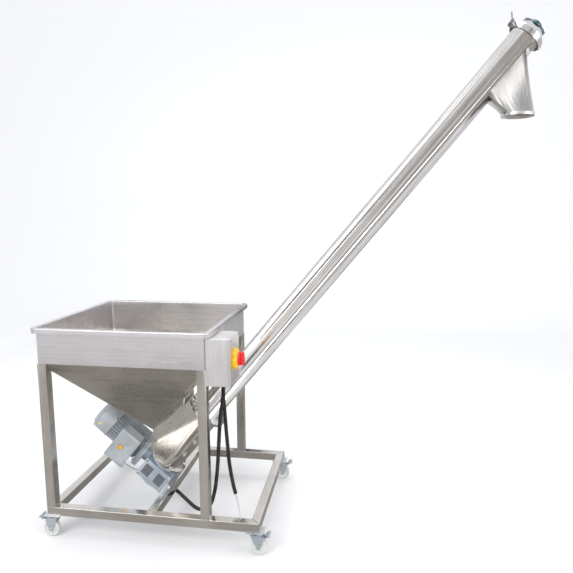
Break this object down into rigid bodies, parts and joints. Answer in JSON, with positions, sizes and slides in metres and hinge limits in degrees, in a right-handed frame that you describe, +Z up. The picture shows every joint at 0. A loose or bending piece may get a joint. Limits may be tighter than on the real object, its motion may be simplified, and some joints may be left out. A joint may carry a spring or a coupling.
{
  "type": "grain auger",
  "caption": "Mobile inclined screw conveyor for grain: a square hopper on a wheeled frame feeds a driven auger tube with a spout.",
  "frame": {"origin": "middle of the footprint of the whole machine, on the floor that the wheels stand on", "axes": "+Z up; +X along the machine, the way the auger rises; -Y towards the side with the control box"},
  "size_m": [2.1723, 0.7854, 2.2735],
  "materials": {
    "frame_steel": "polished square tube",
    "sheet_steel": "brushed sheet",
    "tube_steel": "polished round tube",
    "fastener_steel": "bright fasteners",
    "inner_steel": "dull inner steel",
    "box_steel": "fine satin sheet",
    "gear_alloy": "silver grey painted casting",
    "motor_alloy": "silver grey painted casting",
    "bronze": "cast bronze",
    "fan_plastic": "moulded",
    "switch_yellow": "moulded",
    "switch_red": "moulded",
    "gland_black": "moulded",
    "conduit_black": "corrugated",
    "lead_grey": "smooth jacket",
    "bearing_blue": "blue-grey enamel",
    "zinc": "blue zinc plating",
    "wheel_nylon": "cast nylon"
  },
  "bodies": {
    "machine": {"base_near_bar": "frame_steel", "base_back_bar": "frame_steel", "base_left_bar": "frame_steel", "base_right_bar": "frame_steel", "base_cross_bar": "frame_steel", "leg_near_left": "frame_steel", "leg_near_right": "frame_steel", "leg_back_left": "frame_steel", "leg_back_right": "frame_steel", "hopper_box": "sheet_steel", "hopper_cone": "sheet_steel", "hopper_neck": "sheet_steel", "trough": "sheet_steel", "flange_bolts": "fastener_steel", "auger_tube": "tube_steel", "spout": "sheet_steel", "clamp_half_near": "tube_steel", "clamp_half_far": "tube_steel", "end_cap": "tube_steel", "end_bearing": "bearing_blue", "gearbox_housing": "gear_alloy", "gearbox_cover": "gear_alloy", "motor_frame": "motor_alloy", "fan_cowl": "motor_alloy", "terminal_box": "motor_alloy", "terminal_lid": "motor_alloy", "control_box": "box_steel", "control_lid": "box_steel", "lid_screws": "fastener_steel", "switch_base": "switch_yellow", "cable_glands": "gland_black", "supply_conduit": "conduit_black", "supply_lead": "lead_grey", "motor_conduit": "conduit_black", "motor_lead": "lead_grey", "caster_plates": "zinc"},
    "screw": {"screw_shaft": "inner_steel", "screw_flight": "inner_steel", "worm_wheel": "bronze"},
    "rotor": {"worm_shaft": "inner_steel", "motor_rotor": "inner_steel", "motor_fan": "fan_plastic"},
    "switch_handle": {"switch_handle": "switch_red"},
    "cleaning_door": {"cleaning_door": "sheet_steel"},
    "door_knob_lower": {"door_knob_lower": "fastener_steel"},
    "door_knob_upper": {"door_knob_upper": "fastener_steel"},
    "clamp_bolt": {"clamp_bolt": "fastener_steel"},
    "wing_nut": {"wing_nut": "fastener_steel"},
    "swivel_near_left": {"fork_near_left": "zinc"},
    "wheel_near_left": {"wheel_near_left": "wheel_nylon"},
    "pedal_near_left": {"pedal_near_left": "zinc"},
    "swivel_near_right": {"fork_near_right": "zinc"},
    "wheel_near_right": {"wheel_near_right": "wheel_nylon"},
    "pedal_near_right": {"pedal_near_right": "zinc"},
    "swivel_back_left": {"fork_back_left": "zinc"},
    "wheel_back_left": {"wheel_back_left": "wheel_nylon"},
    "pedal_back_left": {"pedal_back_left": "zinc"},
    "swivel_back_right": {"fork_back_right": "zinc"},
    "wheel_back_right": {"wheel_back_right": "wheel_nylon"},
    "pedal_back_right": {"pedal_back_right": "zinc"}
  },
  "joints": [
    {"name": "screw_spin", "type": "hinge", "parent": "machine", "child": "screw", "pos_m": [-0.6502, 0, 0.18281], "axis": [0.6374, 0, 0.7705], "continuous": true},
    {"name": "rotor_spin", "type": "hinge", "parent": "machine", "child": "rotor", "pos_m": [-0.6502, 0.063, 0.18281], "axis": [-0.7705, 0, 0.6374], "continuous": true},
    {"name": "switch_turn", "type": "hinge", "parent": "machine", "child": "switch_handle", "pos_m": [-0.17104, -0.288, 0.8615], "axis": [1, 0, 0], "range_deg": [0, 90]},
    {"name": "door_hinge", "type": "hinge", "parent": "machine", "child": "cleaning_door", "pos_m": [-0.45361, 0.09333, 0.36476], "axis": [0.6374, 0, 0.7705], "range_deg": [0, 100]},
    {"name": "door_knob_lower_turn", "type": "hinge", "parent": "cleaning_door", "child": "door_knob_lower", "pos_m": [-0.48916, -0.08033, 0.31629], "axis": [-0.7705, 0, 0.6374], "continuous": true},
    {"name": "door_knob_upper_turn", "type": "hinge", "parent": "cleaning_door", "child": "door_knob_upper", "pos_m": [-0.43498, -0.08033, 0.38179], "axis": [-0.7705, 0, 0.6374], "continuous": true},
    {"name": "clamp_bolt_swing", "type": "hinge", "parent": "machine", "child": "clamp_bolt", "pos_m": [0.94525, 0.008, 2.24316], "axis": [-0.6374, 0, -0.7705], "range_deg": [0, 100]},
    {"name": "wing_nut_turn", "type": "hinge", "parent": "clamp_bolt", "child": "wing_nut", "pos_m": [0.94525, -0.045, 2.24316], "axis": [0, -1, 0], "continuous": true},
    {"name": "swivel_near_left_turn", "type": "hinge", "parent": "machine", "child": "swivel_near_left", "pos_m": [-1.02004, -0.3365, 0.09], "axis": [0, 0, 1], "continuous": true},
    {"name": "wheel_near_left_roll", "type": "hinge", "parent": "swivel_near_left", "child": "wheel_near_left", "pos_m": [-1.03404, -0.3365, 0.0375], "axis": [0, -1, 0], "continuous": true},
    {"name": "pedal_near_left_press", "type": "hinge", "parent": "swivel_near_left", "child": "pedal_near_left", "pos_m": [-1.05404, -0.3365, 0.078], "axis": [0, -1, 0], "range_deg": [0, 22]},
    {"name": "swivel_near_right_turn", "type": "hinge", "parent": "machine", "child": "swivel_near_right", "pos_m": [-0.07704, -0.3365, 0.09], "axis": [0, 0, 1], "continuous": true},
    {"name": "wheel_near_right_roll", "type": "hinge", "parent": "swivel_near_right", "child": "wheel_near_right", "pos_m": [-0.06304, -0.3365, 0.0375], "axis": [0, 1, 0], "continuous": true},
    {"name": "pedal_near_right_press", "type": "hinge", "parent": "swivel_near_right", "child": "pedal_near_right", "pos_m": [-0.04304, -0.3365, 0.078], "axis": [0, 1, 0], "range_deg": [0, 22]},
    {"name": "swivel_back_left_turn", "type": "hinge", "parent": "machine", "child": "swivel_back_left", "pos_m": [-1.02004, 0.3365, 0.09], "axis": [0, 0, 1], "continuous": true},
    {"name": "wheel_back_left_roll", "type": "hinge", "parent": "swivel_back_left", "child": "wheel_back_left", "pos_m": [-1.02704, 0.34862, 0.0375], "axis": [-0.866, -0.5, 0], "continuous": true},
    {"name": "pedal_back_left_press", "type": "hinge", "parent": "swivel_back_left", "child": "pedal_back_left", "pos_m": [-1.03704, 0.36595, 0.078], "axis": [-0.866, -0.5, 0], "range_deg": [0, 22]},
    {"name": "swivel_back_right_turn", "type": "hinge", "parent": "machine", "child": "swivel_back_right", "pos_m": [-0.07704, 0.3365, 0.09], "axis": [0, 0, 1], "continuous": true},
    {"name": "wheel_back_right_roll", "type": "hinge", "parent": "swivel_back_right", "child": "wheel_back_right", "pos_m": [-0.06334, 0.33941, 0.0375], "axis": [-0.2079, 0.9781, 0], "continuous": true},
    {"name": "pedal_back_right_press", "type": "hinge", "parent": "swivel_back_right", "child": "pedal_back_right", "pos_m": [-0.04378, 0.34357, 0.078], "axis": [-0.2079, 0.9781, 0], "range_deg": [0, 22]}
  ],
  "couplings": [
    {"joint": "rotor_spin", "follows": "screw_spin", "ratio": 16}
  ]
}
